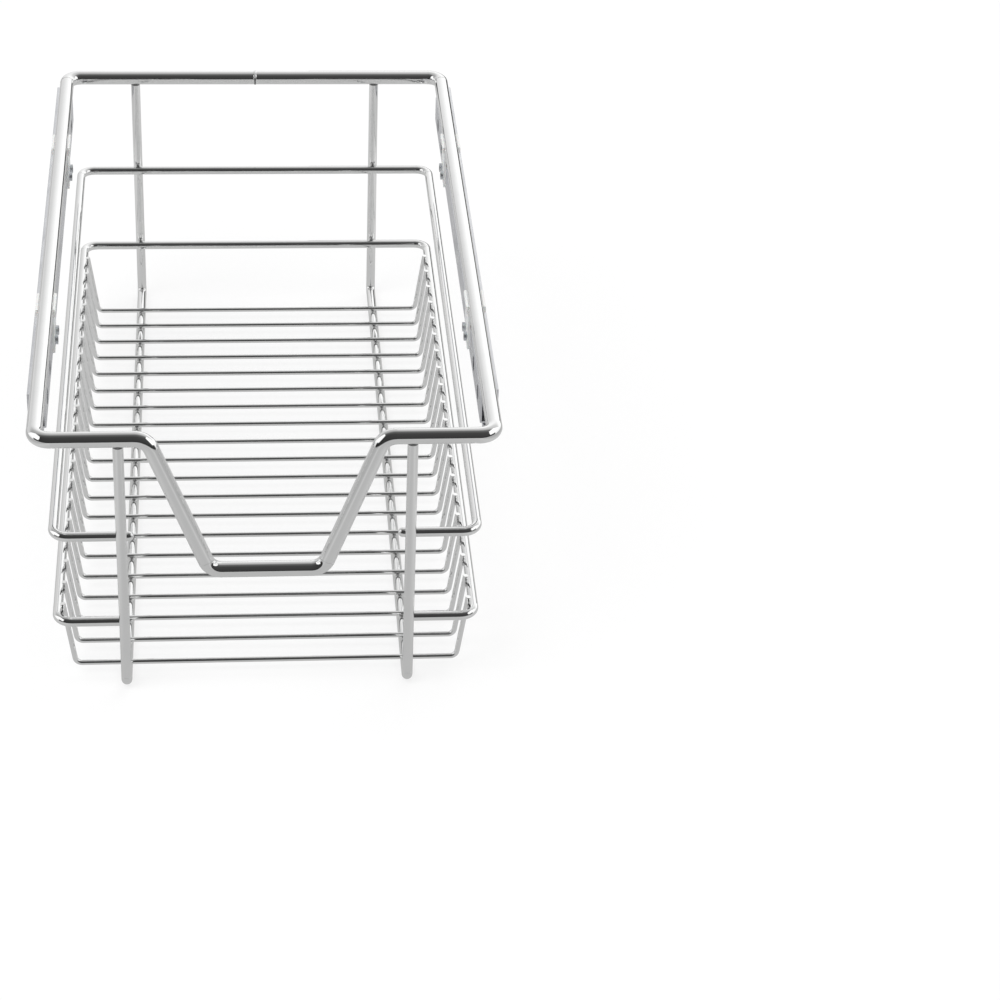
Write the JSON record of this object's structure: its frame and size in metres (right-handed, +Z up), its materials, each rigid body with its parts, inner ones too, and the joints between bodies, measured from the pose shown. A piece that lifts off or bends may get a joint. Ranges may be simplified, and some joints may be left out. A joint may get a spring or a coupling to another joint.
{
  "type": "pull-out cabinet basket",
  "caption": "Chrome wire basket with a thick rim that dips at the front, two rails and a floor of cross wires, hung on ball-bearing side runners so that it pulls out of a narrow base cabinet.",
  "frame": {"origin": "under the middle of the basket, on the plane of the undersides of the two support rods", "axes": "+X to the right as seen by someone who faces the cabinet, +Y into the cabinet, +Z up; the basket pulls out along -Y"},
  "size_m": [0.264, 0.4693, 0.171],
  "materials": {
    "chrome_rod": "bright chrome plate on steel rod",
    "runner_steel": "bright zinc plate on sheet steel",
    "cage_steel": "plain rolled strip",
    "ball_steel": "polished bearing steel",
    "bumper_rubber": "black moulded rubber",
    "clip_plastic": "white moulded plastic, lightly matt",
    "screw_steel": "bright zinc plate"
  },
  "bodies": {
    "cabinet_rails": {"cabinet_rail_left": "runner_steel", "cabinet_rail_right": "runner_steel", "rear_bumper_left": "bumper_rubber", "rear_bumper_right": "bumper_rubber"},
    "basket": {"top_rim": "chrome_rod", "mid_rail": "chrome_rod", "lower_rail": "chrome_rod", "support_frame_left": "chrome_rod", "support_frame_right": "chrome_rod", "cross_wire_01": "chrome_rod", "cross_wire_02": "chrome_rod", "cross_wire_03": "chrome_rod", "cross_wire_04": "chrome_rod", "cross_wire_05": "chrome_rod", "cross_wire_06": "chrome_rod", "cross_wire_07": "chrome_rod", "cross_wire_08": "chrome_rod", "cross_wire_09": "chrome_rod", "cross_wire_10": "chrome_rod", "cross_wire_11": "chrome_rod", "cross_wire_12": "chrome_rod", "cross_wire_13": "chrome_rod", "cross_wire_14": "chrome_rod", "cross_wire_15": "chrome_rod", "cross_wire_16": "chrome_rod", "cross_wire_17": "chrome_rod", "cross_wire_18": "chrome_rod", "cross_wire_19": "chrome_rod", "cross_wire_20": "chrome_rod", "drawer_rail_left": "runner_steel", "drawer_rail_right": "runner_steel", "front_clip_left": "clip_plastic", "rear_clip_left": "clip_plastic", "front_clip_right": "clip_plastic", "rear_clip_right": "clip_plastic", "clip_screws_left": "screw_steel", "clip_screws_right": "screw_steel"},
    "ball_cage_left": {"upper_ball_cage_left": "cage_steel", "lower_ball_cage_left": "cage_steel", "bearing_balls_left": "ball_steel"},
    "ball_cage_right": {"upper_ball_cage_right": "cage_steel", "lower_ball_cage_right": "cage_steel", "bearing_balls_right": "ball_steel"}
  },
  "joints": [
    {"name": "basket_slide", "type": "slide", "parent": "cabinet_rails", "child": "basket", "axis": [0, -1, 0], "range_m": [0, 0.3]},
    {"name": "left_cage_roll", "type": "slide", "parent": "cabinet_rails", "child": "ball_cage_left", "axis": [0, -1, 0], "range_m": [0, 0.15]},
    {"name": "right_cage_roll", "type": "slide", "parent": "cabinet_rails", "child": "ball_cage_right", "axis": [0, -1, 0], "range_m": [0, 0.15]}
  ],
  "couplings": [
    {"joint": "left_cage_roll", "follows": "basket_slide", "ratio": 0.5},
    {"joint": "right_cage_roll", "follows": "basket_slide", "ratio": 0.5}
  ]
}
